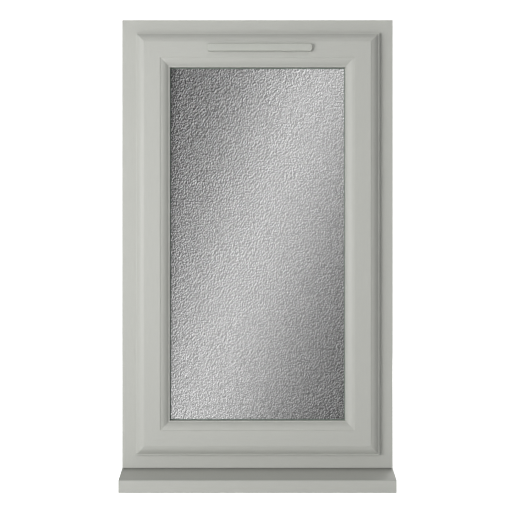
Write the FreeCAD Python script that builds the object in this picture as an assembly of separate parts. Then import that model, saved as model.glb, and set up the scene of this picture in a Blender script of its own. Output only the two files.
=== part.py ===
import FreeCAD, Part
import math
import os

# Casement window, hung on its left side as seen from outside, opening outwards on
# friction stays. Millimetres. +X is right as seen from outside, +Y goes into the
# room, +Z is up. The origin is the middle of the sill's underside, below the
# frame's outer face. Most sections are drawn in t and y: t is the distance in
# from the frame's outer edge, on any of its four sides, and y is the depth.

V = FreeCAD.Vector

# ---- Whole window ----
frame_wide = 610.0
frame_high = 1010.0
frame_deep = 70.0
sill_high = 42.0
sill_nose_high = 28.0
sill_project = 80.0
sill_cap_thick = 3.0

# ---- Frame section ----
leg = 37.0                 # outer edge to rebate floor
upstand_step = 20.0        # rebate floor to the inner edge of the upstand
upstand_thick = 18.0
wall = 3.0
edge_round = 1.5
first_chamber = 14.0       # depth of the web behind the outer chamber

# ---- Friction stay, in layers off the rebate floor ----
track_base = 1.8
shoe_flange = 1.2
track_lip = 0.8
slide_gap = 0.2
layer_gap = 0.3
link_thick = 2.0
arm_gap = 0.9
arm_thick = 3.0
track_wide = 20.0
track_wall = 1.5
track_hook = 2.0           # how far each of the track's lips turns in
stay_y = 12.0              # depth of the pivots' plane
link_reach = 57.0          # every pivot-to-pivot length of the stay
nose_inset = 10.0          # nose pivot in from the sash's edge
link_half = 9.0
stay_pin_r = 4.0
pin_gap = 0.05
loop_gap = 0.3             # clearance at the pivot where the linkage closes
arm_past_shoe = 60.0
shoe_half = 20.0

# ---- Sash section ----
lip_cover = 6.0            # the sash's lip laps over the frame's leg
lip_flat = 2.5
lip_lean = 0.3
lip_front = 12.0
lip_gap = 3.0              # between the lip's back and the frame's outer face
ovolo_wide = 17.5
flat_wide = 36.0
bevel_wide = 21.0
sash_proud = 22.0          # sash face in front of the frame's outer face
quirk = 0.6                # run of the small step at each edge of the flat
quirk_deep = 1.0
ovolo_tilt = 51.0          # degrees off the flat, at the lip
bevel_tilt = 2.0           # degrees off the flat, at the flat
nose_front = 12.8
nose_wide = 2.5
seal_gap = 3.0             # between the sash's back and the frame's upstand
bead_high = 21.0
hardware_web = 9.0         # depth of the web in front of the lock's chamber
hardware_room = 22.0

# ---- Glazing ----
pane_thick = 4.0
pane_space = 20.0
gasket_thick = 3.0
bead_gasket_thick = 2.0
gasket_show = 1.8          # gasket seen inside the sight edge
nose_back = 1.0
edge_room_bottom = 5.0
edge_room_side = 7.0
edge_room_top = 9.0
sealant_wide = 6.0
spacer_wide = 9.0
packer_long = 80.0
packer_away = 40.0         # packers' distance from the unit's corners

# ---- Lock ----
lock_travel = 20.0
lock_backset = 21.5        # sash edge to spindle
faceplate_thick = 2.5
faceplate_half = 8.0
faceplate_end = 125.0      # faceplate's ends from the frame's ends
bar_thick = 2.5
bar_half = 6.0
bar_gap = 0.3
cam_end = 120.0            # cams from the faceplate's ends
cam_r = 3.5
cam_head_r = 6.0
cam_head_thick = 2.0
keep_plate = 2.5
pinion_teeth = 16
tooth_add = 1.3
tooth_ded = 1.9
backlash = 0.35
case_half_thick = 7.0
case_half_high = 36.0
spindle_side = 7.0
hub_r = 8.0

# ---- Handle ----
base_half_wide = 12.0
base_half_high = 33.0
base_thick = 9.0
handle_centres = 43.0      # between the handle's fixing screws
handle_well = 3.0
journal_r = 9.0
grip_long = 118.0
grip_off = 26.0            # clear space behind the grip
grip_thick = 11.0
grip_half = 9.5
button_r = 5.0
button_travel = 3.0
running_gap = 0.05
face_gap = 0.3

# ---- Trickle vent ----
vent_x = 5.0
canopy_half = 118.0
canopy_high = 18.0
canopy_proud = 9.0
canopy_wall = 1.6
canopy_corner = 6.0
slot_long = 96.0
slot_high = 10.0
slot_rib = 16.0
vent_half = 131.0
vent_body_high = 24.0
vent_body_deep = 8.0
flap_thick = 2.2
flap_high = 17.0
flap_pin_r = 1.1
ear_thick = 4.0
ear_away = 6.0             # from the vent's opening to an ear

# ---- Fixings ----
fix_hole_r = 4.25          # frame fixing holes in the jambs
fix_end = 150.0            # first fixing hole from the frame's end
fix_y = 40.0
screw_r = 2.0
screw_head_r = 3.8
screw_head_high = 2.0
screw_room = 0.15
stout_r = 2.4              # shank of the sill's and the handle's screws
stout_head_r = 5.0
sill_screw_long = 60.0
track_screw_long = 12.0
arm_screw_long = 10.0
keep_screw_long = 14.0
faceplate_screw_long = 16.0
handle_screw_long = 22.0
vent_screw_long = 18.0
soft_gap = 0.3
steel_gap = 0.5            # round a steel core in its chamber
steel_thick = 1.5
keep_screw_low = -8.0      # from the cam at rest to the keep's screws
keep_screw_high = 30.0
keep_screw_off = 6.0

# ---- Run-up block ----
run_up_front = 26.0
run_up_deep = 20.0
run_up_ramp = 8.0
run_up_long = 34.0
run_up_away = 76.0         # from the sash's edge to the block

# ---- Places worked out from the sizes above ----
base_z = sill_high
top_z = sill_high + frame_high
mid_z = (base_z + top_z) / 2
half_wide = frame_wide / 2
upstand_t = leg + upstand_step
upstand_y = frame_deep - upstand_thick

track_top = leg + track_base + shoe_flange + 2 * slide_gap + track_lip
nose_low = track_top + layer_gap
nose_high = nose_low + link_thick
centre_low = nose_high + layer_gap
centre_high = centre_low + link_thick
long_low = centre_high + layer_gap
long_high = long_low + link_thick
arm_low = long_high + arm_gap
sash_edge = arm_low + arm_thick

lip_edge = leg - lip_cover
face_t = lip_edge + lip_flat + ovolo_wide
face_end = face_t + flat_wide
sight = face_end + bevel_wide
pocket = sight - bead_high
sash_face = -sash_proud
sash_back = upstand_y - seal_gap
hardware_back = hardware_web + wall + hardware_room

glass_front = gasket_thick - nose_back
inner_pane_front = glass_front + pane_thick + pane_space
glass_back = inner_pane_front + pane_thick
bead_front = glass_back + bead_gasket_thick
pane_x = half_wide - pocket - edge_room_side
pane_low = base_z + pocket + edge_room_bottom
pane_high = top_z - pocket - edge_room_top

pivot_g = -half_wide + sash_edge + nose_inset
pivot_c = pivot_g + link_reach
pivot_m = pivot_c + link_reach
pivot_s = pivot_m + link_reach

faceplate_long = frame_high - 2 * faceplate_end
cam_reach = faceplate_long / 2 - cam_end
lock_y = hardware_web + wall + hardware_room / 2
spindle_t = sash_edge + lock_backset
spindle_x = half_wide - spindle_t
pitch_r = lock_travel / (math.pi / 2)
tooth_pitch = 2 * math.pi * pitch_r / pinion_teeth
pitch_t = spindle_t - pitch_r
bar_low = sash_edge + bar_gap
bar_high = bar_low + bar_thick

canopy_t = (face_t + face_end) / 2 - 3.0
base_top = sash_back + base_thick
grip_y = sash_back + grip_off
flap_t = upstand_t + 5.0
vent_face = sash_back + vent_body_deep

parts = {}


def keep_part(name, *solids):
    """Record one sub-part, made of one solid or of several alike."""
    parts[name] = solids[0] if len(solids) == 1 else Part.makeCompound(list(solids))


# ---- Drawing helpers ----

def at(side, t, y, along=0.0):
    """The point t in from one side's outer edge, y deep, and along its length."""
    if side == "bottom":
        return V(along, y, base_z + t)
    if side == "top":
        return V(along, y, top_z - t)
    if side == "left":
        return V(-half_wide + t, y, along)
    return V(half_wide - t, y, along)


def span(side):
    """Where a side starts and ends along its own length."""
    if side in ("bottom", "top"):
        return -half_wide, half_wide
    return base_z, top_z


def run(side, length):
    """A step of the given length along a side."""
    return V(length, 0, 0) if side in ("bottom", "top") else V(0, 0, length)


def steps(corners):
    """Turn corners (a, b) or (a, b, radius) into lines and arcs round an outline."""
    found = []
    count = len(corners)
    for i in range(count):
        here = V(corners[i][0], corners[i][1], 0)
        radius = corners[i][2] if len(corners[i]) == 3 else 0.0
        if radius == 0.0:
            found.append((here,))
            continue
        before = corners[i - 1]
        after = corners[(i + 1) % count]
        come = (here - V(before[0], before[1], 0)).normalize()
        go = (V(after[0], after[1], 0) - here).normalize()
        half_turn = come.getAngle(go) / 2
        back = radius * math.tan(half_turn)
        inward = (go - come).normalize()
        middle = here + inward * (radius / math.cos(half_turn) - radius)
        found.append((here - come * back, middle, here + go * back))
    return found


def prism(corners, spot, sweep):
    """Sweep an outline; spot(a, b) places each of its points in the window."""
    found = steps(corners)
    edges = []
    for i in range(len(found)):
        if len(found[i]) == 3:
            edges.append(Part.Arc(*[spot(p.x, p.y) for p in found[i]]).toShape())
        start = found[i][-1]
        end = found[(i + 1) % len(found)][0]
        if (end - start).Length > 1e-6:
            edges.append(Part.makeLine(spot(start.x, start.y), spot(end.x, end.y)))
    face = Part.Face(Part.Wire(Part.__sortEdges__(edges)))
    return face.extrude(sweep)


def mitre(side):
    """The wedge of space that belongs to one side, between its two mitred ends."""
    low, high = span(side)
    deep = half_wide - 1.0
    corners = [(low, 0), (high, 0), (high - deep, deep), (low + deep, deep)]
    front = -200.0
    return prism(corners, lambda along, t: at(side, t, front, along), V(0, 500, 0))


def bar(side, corners, chambers=(), square_end=None):
    """A section swept along one side, mitred, or cut square at square_end."""
    low, high = span(side)
    inset = 0.0 if square_end is None else square_end
    sweep = run(side, high - low - 2 * inset)

    def spot(t, y):
        return at(side, t, y, low + inset)

    solid = prism(corners, spot, sweep)
    if chambers:
        solid = solid.cut([prism(chamber, spot, sweep) for chamber in chambers])
    return solid if square_end is not None else solid.common(mitre(side))


def bars(corners, chambers=()):
    """The four mitred lengths that go round the window."""
    return [bar(side, corners, chambers) for side in ("bottom", "top", "left", "right")]


def block(side, t0, t1, y0, y1, a0, a1):
    """A square-cornered block between two distances in, depths and lengths along."""
    first = at(side, t0, y0, a0)
    last = at(side, t1, y1, a1)
    low = V(min(first.x, last.x), y0, min(first.z, last.z))
    size = V(abs(last.x - first.x), y1 - y0, abs(last.z - first.z))
    return Part.makeBox(size.x, size.y, size.z, low)


def box_corners(a0, a1, b0, b1, radius=0.0):
    """The corners of a rectangle, rounded where a radius is given."""
    if radius == 0.0:
        return [(a0, b0), (a1, b0), (a1, b1), (a0, b1)]
    return [(a0, b0, radius), (a1, b0, radius), (a1, b1, radius), (a0, b1, radius)]


def panel(x0, x1, z0, z1, y0, y1, radius=0.0):
    """A panel facing the room, with its corners rounded where a radius is given."""
    corners = box_corners(x0, x1, z0, z1, radius)
    return prism(corners, lambda x, z: V(x, y0, z), V(0, y1 - y0, 0))


def plate(side, x0, x1, half, h0, h1, radius=0.0):
    """A flat piece of the stay between two heights t off the frame's edge."""
    low = min(at(side, h0, 0).z, at(side, h1, 0).z)
    corners = box_corners(x0, x1, stay_y - half, stay_y + half, radius)
    return prism(corners, lambda x, y: V(x, y, low), V(0, 0, abs(h1 - h0)))


def link(side, x0, x1, half, h0, h1):
    """A stay link with round ends about its two pivots."""
    return plate(side, x0 - half, x1 + half, half, h0, h1, half)


def post(side, x, radius, h0, h1):
    """An upright round piece on one of the stay's pivots."""
    low = min(at(side, h0, 0).z, at(side, h1, 0).z)
    return Part.makeCylinder(radius, abs(h1 - h0), V(x, stay_y, low), V(0, 0, 1))


def screw(head, point_to, length, grow=0.0, radius=screw_r, head_r=screw_head_r):
    """A countersunk screw from the middle of its head's face, or room for one."""
    cone = Part.makeCone(head_r + grow, radius + grow, screw_head_high, head, point_to)
    shank = Part.makeCylinder(radius + grow, length, head, point_to)
    return cone.fuse(shank).removeSplitter()


def screws(heads, point_to, length, **sizes):
    """Screws alike at several places."""
    return [screw(head, point_to, length, **sizes) for head in heads]


# ---- Frame ----

def frame_section():
    """Outline and chambers of the outer frame's welded profile."""
    inner = leg - wall
    web = first_chamber
    corners = [
        (0, 0), (leg, 0, edge_round), (leg, upstand_y),
        (upstand_t, upstand_y, edge_round), (upstand_t, frame_deep, edge_round), (0, frame_deep),
    ]
    chambers = [
        box_corners(wall, inner, wall, web),
        box_corners(wall, inner, web + wall, upstand_y - wall),
        box_corners(wall, inner, upstand_y, frame_deep - wall),
        box_corners(leg, upstand_t - wall, upstand_y + wall, frame_deep - wall),
    ]
    return corners, chambers


def tube(t0, t1, y0, y1, thick):
    """Outline and hollow of a rectangular steel tube inside a chamber."""
    outside = box_corners(t0, t1, y0, y1)
    inside = box_corners(t0 + thick, t1 - thick, y0 + thick, y1 - thick)
    return outside, [inside]


def jamb_fixings(side):
    """Room for the three frame fixings through a jamb."""
    out = V(-1, 0, 0) if side == "left" else V(1, 0, 0)
    places = (base_z + fix_end, mid_z, top_z - fix_end)
    starts = [at(side, upstand_t, fix_y, z) for z in places]
    return [Part.makeCylinder(fix_hole_r, upstand_t + 1, start, out) for start in starts]


def sill_screws():
    """The screws that hold the frame down on the sill."""
    heads = [at("bottom", leg, fix_y, x) for x in (-frame_wide / 3, 0, frame_wide / 3)]
    return screws(heads, into("bottom"), sill_screw_long, radius=stout_r, head_r=stout_head_r)


def keep_screws(grow=0.0):
    """The keeps' screws, flush with the keeps' plates, or room for them."""
    heads = []
    for cam_z in (mid_z - cam_reach, mid_z + cam_reach):
        places = (cam_z + keep_screw_low, cam_z + keep_screw_high)
        heads += [at("right", leg + keep_plate, lock_y + keep_screw_off, z) for z in places]
    return screws(heads, into("right"), keep_screw_long, grow=grow)


def track_screws(side, grow=0.0):
    """A stay track's screws, flush with the track's floor, or room for them."""
    places = (pivot_g - 8, pivot_c + 24, pivot_m + 6, pivot_s + shoe_half + 14)
    heads = [at(side, leg + track_base, stay_y, x) for x in places]
    return screws(heads, into(side), track_screw_long, grow=grow)


def into(side):
    """The direction from the rebate into a side's frame bar."""
    return {"bottom": V(0, 0, -1), "top": V(0, 0, 1), "left": V(-1, 0, 0), "right": V(1, 0, 0)}[side]


def make_frame():
    """The four welded frame bars and the steels in their main chambers."""
    corners, chambers = frame_section()
    steel, hollow = tube(wall + steel_gap, leg - wall - steel_gap,
                         first_chamber + wall + steel_gap, upstand_y - wall - steel_gap, steel_thick)
    names = {"bottom": "frame_bottom_rail", "top": "frame_head",
             "left": "frame_hinge_jamb", "right": "frame_lock_jamb"}
    cuts = {
        "bottom": sill_screws() + track_screws("bottom"),
        "top": track_screws("top"),
        "left": jamb_fixings("left"),
        "right": jamb_fixings("right") + keep_screws(),
    }
    steels = []
    for side, name in names.items():
        keep_part(name, bar(side, corners, chambers).cut(cuts[side]))
        steels.append(bar(side, steel, hollow, square_end=leg + 8).cut(cuts[side]))
    keep_part("frame_steels", *steels)


def make_inner_seal():
    """The soft seal on the upstand that the closed sash presses on."""
    middle = (sash_edge + upstand_t) / 2
    front = sash_back + soft_gap
    section = [(middle - 2, upstand_y), (middle - 1.6, front, 0.8), (middle + 1.6, front, 0.8),
               (middle + 2, upstand_y)]
    keep_part("frame_inner_seal", *bars(section))


# ---- Sill ----

def sill_corners():
    """The sill's end view: a level seat for the frame and a sloping nose."""
    nose = -sill_project
    drip = nose + 14
    return [
        (nose, 0, 1.5), (nose, sill_nose_high, 1.5), (0, sill_high), (frame_deep, sill_high),
        (frame_deep, 0), (drip + 6, 0), (drip + 6, 4), (drip, 4), (drip, 0),
    ]


def sill_chambers():
    """The hollows along the sill."""
    nose = -sill_project
    rise = (sill_high - sill_nose_high) / sill_project
    low = 7.0
    found = []
    for y0, y1 in ((nose + wall, nose + 34), (nose + 37, -wall)):
        front = sill_nose_high - wall + rise * (y0 - nose)
        back = sill_nose_high - wall + rise * (y1 - nose)
        found.append([(y0, low), (y1, low), (y1, back), (y0, front)])
    found.append(box_corners(0, frame_deep / 2 - wall, wall, sill_high - wall))
    found.append(box_corners(frame_deep / 2, frame_deep - wall, wall, sill_high - wall))
    return found


def make_sill():
    """The projecting sill, its end caps and the screws down into it."""
    end = half_wide - sill_cap_thick

    def spot(y, z):
        return V(-end, y, z)

    body = prism(sill_corners(), spot, V(2 * end, 0, 0))
    body = body.cut([prism(hole, spot, V(2 * end, 0, 0)) for hole in sill_chambers()])
    keep_part("sill", body.cut(sill_screws()))
    keep_part("sill_screws", *sill_screws())
    thick = V(sill_cap_thick, 0, 0)
    left = prism(sill_corners(), lambda y, z: V(-half_wide, y, z), thick)
    right = prism(sill_corners(), lambda y, z: V(end, y, z), thick)
    keep_part("sill_end_caps", left, right)


# ---- Sash ----

def arc_corner(start, end, tilt):
    """The rounded corner whose single arc leaves start at tilt degrees and reaches end."""
    chord = V(end[0] - start[0], end[1] - start[1], 0)
    leave = math.radians(tilt)
    half_turn = abs(math.atan2(chord.y, chord.x) - leave)
    reach = chord.Length / 2 / math.cos(half_turn)
    radius = reach / math.tan(half_turn)
    return start[0] + reach * math.cos(leave), start[1] + reach * math.sin(leave), radius


def sash_section():
    """Outline and chambers of the sash's welded profile."""
    face = sash_face
    low_face = face + quirk_deep
    rim = (lip_edge + lip_flat, -lip_front)
    ovolo_end = (face_t - quirk, low_face)
    bevel_start = (face_end + quirk, low_face)
    nose = (sight - nose_wide, -nose_front)
    corners = [
        (lip_edge, -lip_gap), (lip_edge, lip_lean - lip_front, 0.4), rim,
        arc_corner(rim, ovolo_end, -ovolo_tilt), ovolo_end, (face_t, face, 0.4),
        (face_end, face, 0.4), bevel_start, arc_corner(bevel_start, nose, bevel_tilt), nose,
        (sight, -nose_front, 0.7), (sight, -nose_back), (pocket, -nose_back),
        (pocket, sash_back, 0.5), (sash_edge, sash_back, edge_round), (sash_edge, -lip_gap),
    ]
    low = sash_edge + wall
    high = pocket - wall
    chambers = [
        box_corners(low, high, face + wall, hardware_web),
        box_corners(low, high, hardware_web + wall, hardware_back),
        box_corners(low, high, hardware_back + wall, sash_back - wall),
        [(lip_edge + 9, -lip_gap - wall), (sash_edge - 1, -lip_gap - wall),
         (sash_edge - 1, low_face + wall), (lip_edge + 14, low_face + wall)],
        [(pocket, -nose_back - wall), (sight - 5, -nose_back - wall),
         (face_end + 0.5 * bevel_wide, low_face + 2 * wall), (pocket, low_face + wall)],
    ]
    return corners, chambers


def arm_screws(side, grow=0.0):
    """A sash arm's screws, flush with the arm, or room for them."""
    places = (pivot_g + 28, pivot_c + 28, pivot_m + 28, pivot_s + 20, pivot_s + 46)
    heads = [at(side, arm_low, stay_y, x) for x in places]
    return screws(heads, into(side) * -1, arm_screw_long, grow=grow)


def faceplate_screws(grow=0.0):
    """The screws in the ends of the lock's faceplate, or room for them."""
    reach = faceplate_long / 2 - 14
    top = sash_edge - faceplate_thick
    heads = [at("right", top, lock_y, mid_z + dz) for dz in (-reach, reach)]
    return screws(heads, V(-1, 0, 0), faceplate_screw_long, grow=grow)


def handle_screws(grow=0.0):
    """The handle's fixing screws, sunk in its base, or room for them."""
    y = base_top - handle_well
    heads = [V(spindle_x, y, mid_z + dz) for dz in (-handle_centres / 2, handle_centres / 2)]
    return screws(heads, V(0, -1, 0), handle_screw_long, radius=stout_r, grow=grow)


def vent_slots(y0, y1):
    """Room for the two air slots through the top rail."""
    z = top_z - canopy_t
    half_rib = slot_rib / 2
    found = []
    for x0 in (vent_x - half_rib - slot_long, vent_x + half_rib):
        found.append(panel(x0, x0 + slot_long, z - slot_high / 2, z + slot_high / 2, y0, y1,
                           slot_high / 2 - 0.1))
    return found


def vent_screws(grow=0.0):
    """The inner vent body's screws, or room for them."""
    z = top_z - (flap_t + vent_body_high / 2)
    heads = [V(vent_x + dx, vent_face, z) for dx in (5 - vent_half, vent_half - 5)]
    return screws(heads, V(0, -1, 0), vent_screw_long, grow=grow)


def lock_recess():
    """Room in the lock stile for the drive bar, the gearbox and the spindle."""
    half = bar_half + 0.5
    reach = faceplate_long / 2 - 30
    groove = block("right", sash_edge - 1, sash_edge + wall + 0.1, lock_y - half, lock_y + half,
                   mid_z - reach, mid_z + reach)
    mouth = block("right", sash_edge - 1, sash_edge + wall + 0.1, lock_y - case_half_thick - 0.3,
                  lock_y + case_half_thick + 0.3, mid_z - case_half_high - 1, mid_z + case_half_high + 1)
    start = V(spindle_x, hardware_back - 1, mid_z)
    bore = Part.makeCylinder(spindle_side * 0.8, sash_back - hardware_back + 2, start, V(0, 1, 0))
    return [groove, mouth, bore]


def make_sash():
    """The four welded sash bars and the steels in their front chambers."""
    corners, chambers = sash_section()
    steel, hollow = tube(sash_edge + wall + steel_gap, pocket - wall - steel_gap,
                         sash_face + wall + steel_gap, hardware_web - steel_gap, steel_thick)
    names = {"bottom": "sash_bottom_rail", "top": "sash_top_rail",
             "left": "sash_hinge_stile", "right": "sash_lock_stile"}
    cuts = {
        "bottom": arm_screws("bottom"),
        "top": arm_screws("top") + vent_slots(sash_face - 1, sash_back + 1) + vent_screws(),
        "left": [],
        "right": lock_recess() + faceplate_screws() + handle_screws(),
    }
    steels = []
    for side, name in names.items():
        solid = bar(side, corners, chambers)
        core = bar(side, steel, hollow, square_end=pocket + 4)
        keep_part(name, solid.cut(cuts[side]) if cuts[side] else solid)
        steels.append(core.cut(cuts[side]) if cuts[side] else core)
    keep_part("sash_steels", *steels)


def make_sash_seal():
    """The soft seal on the back of the sash's lip."""
    middle = (lip_edge + leg) / 2
    section = [(middle - 2.2, -lip_gap), (middle + 2.2, -lip_gap), (middle + 1.2, -soft_gap, 0.6),
               (middle - 1.2, -soft_gap, 0.6)]
    keep_part("sash_outer_seal", *bars(section))


# ---- Glazing ----

def pane(y0, y1):
    """One sheet of glass, or any slab of the same outline."""
    return panel(-pane_x, pane_x, pane_low, pane_high, y0, y1)


def edge_ring(inset, wide, y0, y1):
    """A rectangular ring between the panes, inset from their edges."""
    outer = panel(inset - pane_x, pane_x - inset, pane_low + inset, pane_high - inset, y0, y1)
    inset += wide
    return outer.cut(panel(inset - pane_x, pane_x - inset, pane_low + inset, pane_high - inset, y0, y1))


def make_glazing():
    """The sealed unit, its gaskets and packers, and the beads that hold it."""
    gap_front = glass_front + pane_thick
    keep_part("patterned_pane", pane(glass_front, gap_front))
    keep_part("inner_pane", pane(inner_pane_front, glass_back))
    keep_part("edge_sealant", edge_ring(0, sealant_wide, gap_front, inner_pane_front))
    keep_part("spacer_bar", edge_ring(sealant_wide, spacer_wide, gap_front, inner_pane_front))
    heel = pocket + edge_room_top + 2
    gasket = [(heel, -nose_back), (sight, -nose_back), (sight + gasket_show, glass_front - 1.2, 0.4),
              (sight + gasket_show, glass_front), (heel, glass_front)]
    keep_part("outer_glazing_gasket", *bars(gasket))
    inner_gasket = [(heel, glass_back), (sight + gasket_show, glass_back),
                    (sight + gasket_show, glass_back + 0.8), (sight, bead_front), (heel, bead_front)]
    keep_part("bead_gasket", *bars(inner_gasket))
    bead = [(pocket, bead_front), (sight, bead_front), (sight, bead_front + 6, 3),
            (sight - 7, sash_back, 5), (pocket, sash_back)]
    hollow = [[(pocket + 2, bead_front + 2), (sight - 2, bead_front + 2), (sight - 2, bead_front + 5.4),
               (sight - 8, sash_back - 2), (pocket + 2, sash_back - 2)]]
    for side, place in (("bottom", "bottom"), ("top", "top"), ("left", "hinge"), ("right", "lock")):
        keep_part("glazing_bead_" + place, bar(side, bead, hollow))
    make_packers()


def make_packers():
    """The plastic packers that carry and square the unit in the sash."""
    half = pane_x - packer_away
    places = (
        ("bottom", edge_room_bottom, -half), ("bottom", edge_room_bottom, half - packer_long),
        ("top", edge_room_top, half - packer_long), ("left", edge_room_side, pane_low + packer_away),
        ("right", edge_room_side, pane_high - packer_away - packer_long),
    )
    found = []
    for side, thick, start in places:
        end = start + packer_long
        found.append(block(side, pocket, pocket + thick, glass_front, glass_back, start, end))
    keep_part("glazing_packers", *found)


# ---- Friction stays, one above and one below the sash ----

def stay_track(side):
    """The channel that is fixed to the frame and guides the shoe."""
    start = -half_wide + leg + 1
    end = pivot_s + shoe_half + 26
    half = track_wide / 2
    body = plate(side, start, end, half, leg, track_top)
    lip_low = track_top - track_lip
    body = body.cut(plate(side, start - 1, end + 1, half - track_wall, leg + track_base, lip_low))
    mouth = half - track_wall - track_hook
    body = body.cut(plate(side, start - 1, end + 1, mouth, lip_low, track_top + 1))
    return body.cut(track_screws(side, screw_room) + [post(side, pivot_c, stay_pin_r, leg, track_top)])


def fixed_pin(side):
    """The pin that carries both links on the track."""
    pin = post(side, pivot_c, stay_pin_r, leg, centre_high)
    collar = post(side, pivot_c, stay_pin_r + 1.5, leg + track_base, nose_low - running_gap)
    return pin.fuse(collar).removeSplitter()


def end_cap(side):
    """The moulded stop at the jamb end of a track."""
    start = -half_wide + leg + 1
    inside = track_wide / 2 - track_wall
    foot = plate(side, start + 1, start + 9, inside, leg + track_base, track_top - track_lip)
    neck = plate(side, start + 1, start + 9, inside - track_hook, track_top - track_lip, track_top)
    head = plate(side, start + 1, start + 9, inside, track_top, long_low, 2)
    return foot.fuse([neck, head]).removeSplitter()


def drilled(shape, side, xs, gap=pin_gap):
    """A link with a bore at each of the given pivots."""
    return shape.cut([post(side, x, stay_pin_r + gap, leg, sash_edge + 1) for x in xs])


def nose_link(side):
    """The short link from the fixed pin to the sash's nose."""
    body = drilled(link(side, pivot_g, pivot_c, link_half, nose_low, nose_high), side, [pivot_c])
    return drilled(body, side, [pivot_g], gap=0.0)


def nose_pin(side):
    """The pin that joins the nose link to the sash arm."""
    pin = post(side, pivot_g, stay_pin_r, nose_low, sash_edge - face_gap)
    collar = post(side, pivot_g, stay_pin_r + 1.5, nose_high, arm_low - running_gap)
    return pin.fuse(collar).removeSplitter()


def centre_link(side):
    """The link that holds up the middle of the long arm."""
    body = drilled(link(side, pivot_c, pivot_m, link_half, centre_low, centre_high), side, [pivot_c])
    return drilled(body, side, [pivot_m], gap=0.0)


def centre_pin(side):
    """The pin that joins the centre link to the long arm."""
    return post(side, pivot_m, stay_pin_r, centre_low, long_high)


def long_arm(side):
    """The arm from the shoe, over the centre link, to the sash arm."""
    body = link(side, pivot_c, pivot_s, link_half - 1, long_low, long_high)
    body = drilled(body, side, [pivot_m, pivot_s])
    return drilled(body, side, [pivot_c], gap=0.0)


def arm_pin(side):
    """The pin in the long arm's end that the sash arm turns on."""
    pin = post(side, pivot_c, stay_pin_r, long_low, sash_edge - face_gap)
    collar = post(side, pivot_c, stay_pin_r + 1.5, long_high, arm_low - running_gap)
    return pin.fuse(collar).removeSplitter()


def shoe(side):
    """The sliding shoe in the track."""
    inside = track_wide / 2 - track_wall
    low = leg + track_base + slide_gap
    start = pivot_s - shoe_half
    end = pivot_s + shoe_half
    flange = plate(side, start, end, inside - face_gap, low, low + shoe_flange)
    spine = plate(side, start, end, inside - track_hook - face_gap, low + shoe_flange,
                  track_top + layer_gap)
    boss = post(side, pivot_s, stay_pin_r + 2.2, track_top + layer_gap, long_low - running_gap)
    body = flange.fuse([spine, boss]).removeSplitter()
    return body.cut(post(side, pivot_s, stay_pin_r, low, long_low))


def shoe_pin(side):
    """The pin in the shoe that the long arm turns on."""
    return post(side, pivot_s, stay_pin_r, leg + track_base + slide_gap, long_high)


def sash_arm(side):
    """The arm screwed to the sash's edge, with the nose and the long arm's pivots."""
    body = plate(side, pivot_g - link_half, pivot_s + arm_past_shoe, link_half, arm_low, sash_edge, 3)
    body = drilled(body, side, [pivot_g])
    body = drilled(body, side, [pivot_c], gap=loop_gap)
    return body.cut(arm_screws(side, screw_room))


def make_stays():
    """Both friction stays; each moving piece is a pair that turns together."""
    sides = ("bottom", "top")
    pairs = {
        "stay_tracks": stay_track, "stay_sash_arms": sash_arm,
        "stay_fixed_pins": fixed_pin, "stay_end_caps": end_cap, "stay_nose_links": nose_link,
        "stay_nose_pins": nose_pin, "stay_centre_links": centre_link, "stay_long_arms": long_arm,
        "stay_arm_pins": arm_pin, "stay_shoes": shoe, "stay_shoe_pins": shoe_pin,
        "stay_centre_pins": centre_pin,
    }
    for name, make in pairs.items():
        keep_part(name, *[make(side) for side in sides])
    keep_part("stay_track_screws", *track_screws("bottom"), *track_screws("top"))
    keep_part("stay_arm_screws", *arm_screws("bottom"), *arm_screws("top"))


def make_run_up_block():
    """The block under the lock side that lifts the sash home as it closes."""
    x0 = half_wide - sash_edge - run_up_away - run_up_long
    high = sash_edge - face_gap
    y0 = run_up_front
    y1 = y0 + run_up_deep

    def spot(y, t):
        return at("bottom", t, y, x0)

    corners = [(y0, leg), (y1, leg), (y1, high, 1), (y0 + run_up_ramp, high, 2), (y0, leg + 6)]
    keep_part("run_up_block", prism(corners, spot, V(run_up_long, 0, 0)))


# ---- Lock ----

def gear_outline():
    """Corners of the pinion's involute teeth, tip radius tooth_add over the pitch."""
    pressure = math.radians(20)
    base = pitch_r * math.cos(pressure)
    tip = pitch_r + tooth_add
    root = pitch_r - tooth_ded
    half_tooth = (tooth_pitch - backlash) / 4 / pitch_r * 2 / 2
    flank = []
    for i in range(5):
        radius = base + (tip - base) * i / 4
        angle = math.acos(base / radius)
        roll = (math.tan(pressure) - pressure) - (math.tan(angle) - angle)
        flank.append((radius, half_tooth + roll))
    flank = [(root, flank[0][1])] + flank
    corners = []
    for k in range(pinion_teeth):
        middle = 2 * math.pi * k / pinion_teeth
        for radius, half in flank:
            corners.append((radius * math.cos(middle - half), radius * math.sin(middle - half)))
        for radius, half in reversed(flank):
            corners.append((radius * math.cos(middle + half), radius * math.sin(middle + half)))
    return corners


def pinion():
    """The toothed quadrant that the spindle turns, with its two journals."""
    half = case_half_thick - 2.5
    origin = V(spindle_x, lock_y - half, mid_z)

    def spot(x, z):
        return origin + V(x, 0, z)

    teeth = prism(gear_outline(), spot, V(0, 2 * half, 0))
    reach = 2 * pitch_r
    step = 2 * math.pi / pinion_teeth
    first = 1.5 * step
    last = first - (math.pi / 2 + 3 * step)
    fan = [(0, 0)]
    for i in range(4):
        angle = first + (last - first) * i / 3
        fan.append((reach * math.cos(angle), reach * math.sin(angle)))
    teeth = teeth.common(prism(fan, spot, V(0, 2 * half, 0)))
    journal = Part.makeCylinder(hub_r, 2 * case_half_thick, V(spindle_x, lock_y - case_half_thick, mid_z),
                                V(0, 1, 0))
    body = teeth.fuse(journal).removeSplitter()
    return body.cut(square_bar(lock_y - case_half_thick - 1, lock_y + case_half_thick + 1, 0.0))


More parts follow.
